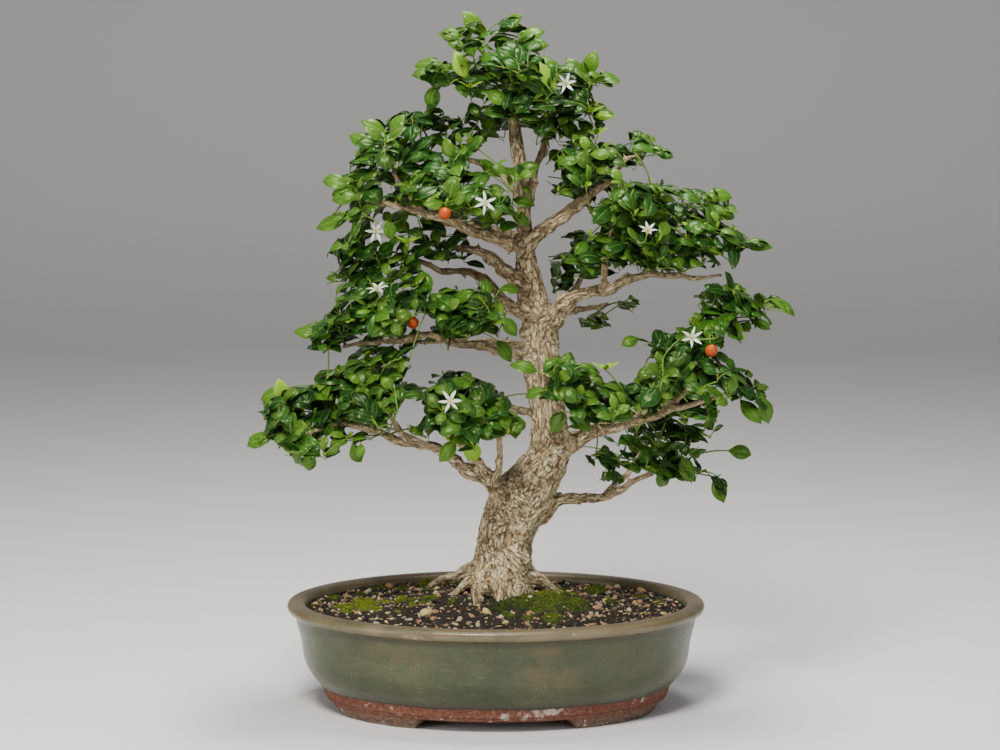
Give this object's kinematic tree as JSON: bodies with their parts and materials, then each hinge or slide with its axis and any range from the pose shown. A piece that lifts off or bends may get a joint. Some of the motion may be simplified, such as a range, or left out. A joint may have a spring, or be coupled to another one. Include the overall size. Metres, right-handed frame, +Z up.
{
  "type": "orange jasmine bonsai",
  "caption": "Informal upright orange jasmine bonsai with glossy compound leaves, white flowers and orange fruits, in an oval celadon pot on four feet.",
  "frame": {"origin": "middle of the whole object's box, at the bottom of the pot's feet", "axes": "+Z up, +X along the pot's long side to the right, +Y from the front to the back"},
  "size_m": [0.5318, 0.3164, 0.6756],
  "materials": {
    "pot_glaze": "satin glaze",
    "soil_mix": "granular",
    "drain_mesh": "matt",
    "bark": "rough bark",
    "leaf": "glossy leaf",
    "petal": "waxy petal",
    "fruit": "glossy skin"
  },
  "bodies": {
    "root": {"pot": "pot_glaze", "soil": "soil_mix", "drain_mesh_left": "drain_mesh", "drain_mesh_right": "drain_mesh", "wood": "bark", "spray_apex_back": "leaf", "spray_apex_front": "leaf", "spray_apex_left_tip": "leaf", "spray_apex_right": "leaf", "spray_apex_top": "leaf", "spray_front_tuft_left": "leaf", "spray_front_tuft_low": "leaf", "spray_front_tuft_right": "leaf", "spray_front_tuft_side": "leaf", "spray_front_tuft_top": "leaf", "spray_left_fourth_fore": "leaf", "spray_left_fourth_tip": "leaf", "spray_left_fourth_top": "leaf", "spray_left_high_tip": "leaf", "spray_left_low_crown": "leaf", "spray_left_low_outer": "leaf", "spray_left_low_rear": "leaf", "spray_left_low_tip": "leaf", "spray_left_low_under": "leaf", "spray_left_second_inner": "leaf", "spray_left_second_mid": "leaf", "spray_left_second_tip": "leaf", "spray_left_third_fore": "leaf", "spray_left_third_inner": "leaf", "spray_left_third_tip": "leaf", "spray_low_back_left": "leaf", "spray_mid_back_side": "leaf", "spray_mid_back_top": "leaf", "spray_right_back_top": "leaf", "spray_right_low_fore": "leaf", "spray_right_low_outer": "leaf", "spray_right_low_tip": "leaf", "spray_right_low_top": "leaf", "spray_right_lowest_rear": "leaf", "spray_right_lowest_tip": "leaf", "spray_right_mid_fore": "leaf", "spray_right_mid_low": "leaf", "spray_right_mid_rear": "leaf", "spray_right_mid_tip": "leaf", "spray_right_mid_top": "leaf", "spray_right_rear_tip": "leaf", "spray_right_upper_tip": "leaf", "spray_right_upper_top": "leaf", "spray_second_back_left": "leaf", "spray_upper_back_left": "leaf", "flower_1": "petal", "flower_2": "petal", "flower_3": "petal", "flower_4": "petal", "flower_5": "petal", "flower_6": "petal", "flower_7": "petal", "fruit_1": "fruit", "fruit_2": "fruit", "fruit_3": "fruit"}
  },
  "joints": []
}
